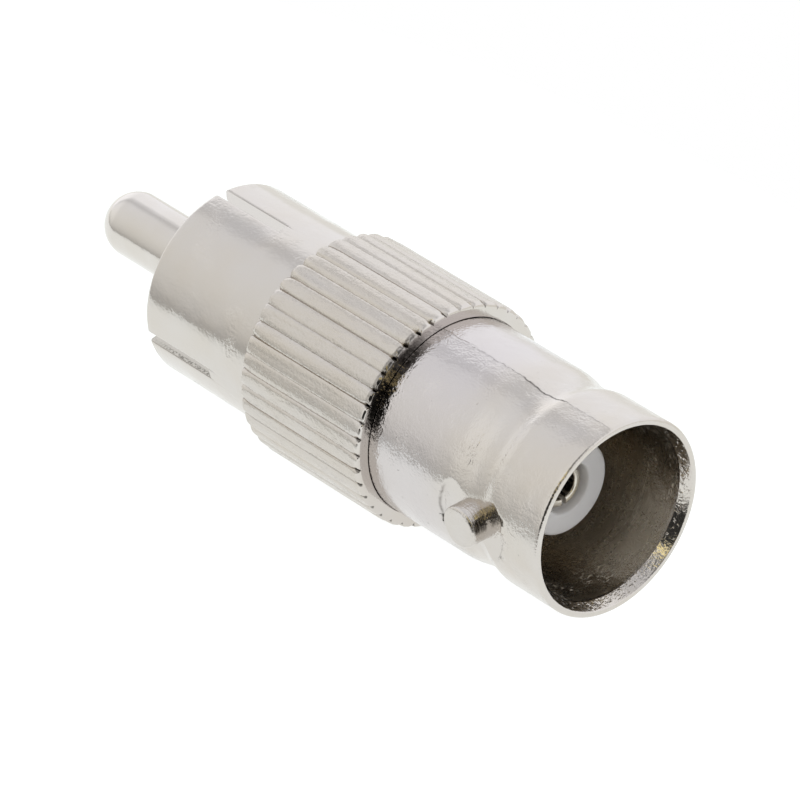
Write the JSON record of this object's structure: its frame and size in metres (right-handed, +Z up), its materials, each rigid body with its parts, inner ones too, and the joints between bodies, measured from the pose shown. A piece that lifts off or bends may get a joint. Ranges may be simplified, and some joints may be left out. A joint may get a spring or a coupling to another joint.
{
  "type": "coaxial adapter",
  "caption": "Coaxial adapter with a bayonet jack at one end and a slotted phono plug with a round-ended pin at the other, joined by a straight-knurled grip.",
  "frame": {"origin": "on the surface it lies on, under the middle of its length and of its width", "axes": "+X along the axis towards the bayonet jack's mouth, Y through the two bayonet lugs, +Z up"},
  "size_m": [0.0344, 0.011, 0.0111],
  "materials": {
    "cast_nickel": "satin nickel plate on a zinc die-casting",
    "turned_nickel": "satin nickel plate on turned and knurled brass",
    "white_plastic": "translucent white",
    "grey_plastic": "plain moulded",
    "contact_bronze": "plated spring bronze",
    "pin_nickel": "smooth nickel plate on turned brass"
  },
  "bodies": {
    "root": {"bnc_barrel": "cast_nickel", "knurled_body": "turned_nickel", "bnc_insulator": "white_plastic", "rca_insulator": "grey_plastic", "socket_contact": "contact_bronze", "rca_pin": "pin_nickel"}
  },
  "joints": []
}
